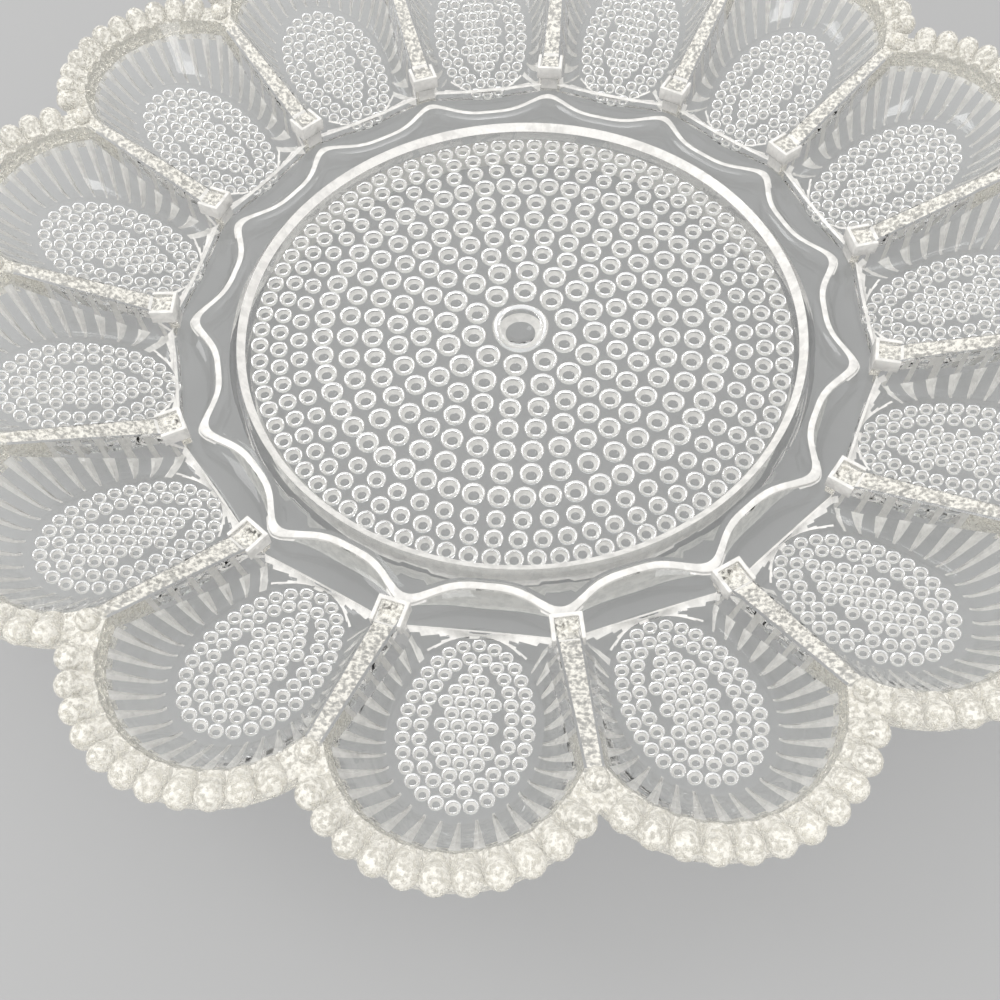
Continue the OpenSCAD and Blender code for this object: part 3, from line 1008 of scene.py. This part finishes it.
def add_finger(angle):
    select_nothing()
    outer = Vector((SCALLOP_X + BEAD_LINE_R * math.cos(angle), BEAD_LINE_R * math.sin(angle), BEAD_Z))
    inner = Vector(
        (
            SCALLOP_X + FINGER_END_R * math.cos(angle),
            FINGER_END_R * math.sin(angle),
            BEAD_Z - FINGER_DROP,
        )
    )
    way = outer - inner
    bpy.ops.mesh.primitive_cone_add(
        vertices=BALL_SIDES,
        radius1=FINGER_IN_D / 2 * MM,
        radius2=FINGER_OUT_D / 2 * MM,
        depth=way.length * MM,
    )
    finger = bpy.context.object
    turn = way.to_track_quat("Z", "Y").to_matrix().to_4x4()
    finger.data.transform(Matrix.Translation((outer + inner) / 2 * MM) @ turn)
    return finger


def prism(name, outline, low, high):
    return extruded_rings(name, [[(x, y, low) for x, y in outline], [(x, y, high) for x, y in outline]])


ledge_angles = [2 * math.pi * i / LEDGE_N for i in range(LEDGE_N)]
ledge_points = [(SCALLOP_X + LEDGE_R * math.cos(a), LEDGE_R * math.sin(a)) for a in ledge_angles]
rim = prism("bead_rim_glass", ledge_points, LIP_UNDER_Z, LIP_Z)
bead_step = 2 * math.asin(BEAD_PITCH / 2 / BEAD_LINE_R)
bead_angles = [(k - (BEADS - 1) / 2) * bead_step for k in range(BEADS)]
for angle in bead_angles:
    carve(rim, add_finger(angle), "UNION")
for angle in bead_angles:
    spot = (SCALLOP_X + BEAD_LINE_R * math.cos(angle), BEAD_LINE_R * math.sin(angle), BEAD_Z)
    carve(rim, add_ball(BEAD_D, spot), "UNION")
for side in (-1, 1):
    spot = (JUNCTION_R * math.cos(HALF), side * JUNCTION_R * math.sin(HALF), BEAD_Z)
    carve(rim, add_ball(JUNCTION_D, spot), "UNION")

start, finish_at = beside(DIVIDER_OUT, 0, -1), beside(DIVIDER_OUT, 0, 1)
region = [tuple(start), (FAR, -FAR * math.tan(HALF)), (FAR, FAR * math.tan(HALF)), tuple(finish_at)]
for i in range(ARC_STEPS + 1):
    a = mix(LIP_A, -LIP_A, i / ARC_STEPS)
    region.append((SCALLOP_X + (LIP_R + SNUG) * math.cos(a), (LIP_R + SNUG) * math.sin(a)))
carve(rim, prism("scallop_region", region, LIP_UNDER_Z - REGION_MORE, BEAD_Z + REGION_MORE), "INTERSECT")
smooth(rim)


def rim_seam(c, n):
    on_split = abs(abs(c.y) * math.cos(HALF) - c.x * math.sin(HALF)) < 0.02
    divider_end = c.x * math.cos(HALF) + abs(c.y) * math.sin(HALF) < DIVIDER_OUT + 0.02
    return abs(n.z) < 0.3 and (on_split or divider_end)


print("rim faces joined:", mark(rim, rim_seam), "of", len(rim.data.polygons))
mark(rim, lambda c, n: True, STIPPLED_SLOT)

# %% [markdown]
# One well, one divider and one scallop of the rim are finished. Each is copied 15 times, every copy with its own
# mesh and turned to its place, and takes the place of the plain solid there.

# %% Copies all round the platter
def settle(piece, name, node):
    piece.name = piece.data.name = name
    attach(piece, "root")
    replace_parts(piece, node)


for pattern, node, turn_by in ((well, "egg_well", 0), (divider, "divider", HALF), (rim, "bead_rim", 0)):
    for i in range(WELLS):
        turn = Matrix.Rotation(i * 2 * HALF - math.pi / 2 + turn_by, 4, "Z")
        settle(copy_at(pattern, turn), f"{node}_{i + 1:02d}_glass", f"{node}_{i + 1:02d}")
    bpy.data.objects.remove(pattern)
settle(plate, "centre_plate_glass", "centre_plate")
settle(foot, "foot_ring_glass", "foot_ring")
settle(collar, "collar_glass", "collar")
shown = [o for o in bpy.data.objects if "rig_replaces" in o]
triangles = sum(len(face.vertices) - 2 for piece in shown for face in piece.data.polygons)
print("pieces:", len(shown), "- triangles:", triangles)

# %% [markdown]
# The platter stands on a plain pale floor, in soft light from above. Glass shows what is round it, so the world is
# a plain pale grey and the lamps are large soft panels.

# %% Floor, world and lamps
FLOOR_SIZE = 6
FLOOR_COLOUR = (0.46, 0.46, 0.455, 1)
FLOOR_ROUGHNESS = 0.6
SKY = ((0.0, 1.0), (0.2, 0.95), (0.5, 1.05), (1.0, 1.2))
SKY_BLUE = 1.01
SKY_STRENGTH = 0.85
PANEL_SIZE = 0.5
PANEL_POWER = 2.5

select_nothing()
bpy.ops.mesh.primitive_plane_add(size=FLOOR_SIZE, location=(0, 0, 0))
floor = bpy.context.object
floor.name = "floor"
floor.data.materials.clear()
floor_finish = bpy.data.materials.new("pale_floor")
floor_finish.use_nodes = True
paint = floor_finish.node_tree.nodes["Principled BSDF"]
paint.inputs["Base Color"].default_value = FLOOR_COLOUR
paint.inputs["Roughness"].default_value = FLOOR_ROUGHNESS
floor.data.materials.append(floor_finish)

world = bpy.data.worlds.new("studio")
bpy.context.scene.world = world
world.use_nodes = True
sky_nodes, sky_links = world.node_tree.nodes, world.node_tree.links
sky_place = sky_nodes.new("ShaderNodeTexCoord")
sky_split = sky_nodes.new("ShaderNodeSeparateXYZ")
sky_ramp = sky_nodes.new("ShaderNodeValToRGB")
sky_links.new(sky_place.outputs["Generated"], sky_split.inputs["Vector"])
sky_links.new(sky_split.outputs["Z"], sky_ramp.inputs["Fac"])
sky_links.new(sky_ramp.outputs["Color"], sky_nodes["Background"].inputs["Color"])
while len(sky_ramp.color_ramp.elements) < len(SKY):
    sky_ramp.color_ramp.elements.new(0.5)
for stop, (height, value) in zip(sky_ramp.color_ramp.elements, SKY):
    stop.position = height
    stop.color = (value, value, value * SKY_BLUE, 1)
sky_nodes["Background"].inputs["Strength"].default_value = SKY_STRENGTH


def soft_panel(name, spot):
    """A square lamp that faces the platter."""
    select_nothing()
    bpy.ops.object.light_add(type="AREA", location=spot)
    panel = bpy.context.object
    panel.name = name
    panel.data.shape = "RECTANGLE"
    panel.data.size = panel.data.size_y = PANEL_SIZE
    panel.data.energy = PANEL_POWER
    panel.rotation_euler = (Vector((0, 0, 0)) - Vector(spot)).to_track_quat("-Z", "Y").to_euler()


soft_panel("panel_left", (-0.8, 0.1, 0.9))
soft_panel("panel_front", (0.2, -0.9, 1.1))

# %% [markdown]
# The camera looks down steeply from in front, close enough for the far wells to look smaller, and turned by three
# degrees. Its place comes from matching the round middle, the rim and the dividers to the photograph.

# %% The camera
CAMERA_AT = (0.019565, -0.170943, 0.21858)
CAMERA_RIGHT = Vector((0.993702, 0.108292, -0.028798))
CAMERA_UP = Vector((-0.078715, 0.857505, 0.508418))
CAMERA_FORWARD = Vector((-0.079752, 0.502949, -0.860629))
SENSOR_MM = 36
LENS_MM = 38.678
NEAREST_SEEN = 0.01
select_nothing()
bpy.ops.object.camera_add(location=CAMERA_AT)
camera = bpy.context.object
facing = Matrix((CAMERA_RIGHT, CAMERA_UP, -CAMERA_FORWARD)).transposed().to_4x4()
camera.matrix_world = Matrix.Translation(CAMERA_AT) @ facing
camera.data.sensor_width = SENSOR_MM
camera.data.lens = LENS_MM
camera.data.clip_start = NEAREST_SEEN
bpy.context.scene.camera = camera
bpy.context.scene.view_settings.view_transform = "Standard"
print("camera height above the table:", round(CAMERA_AT[2] * 1000), "mm")
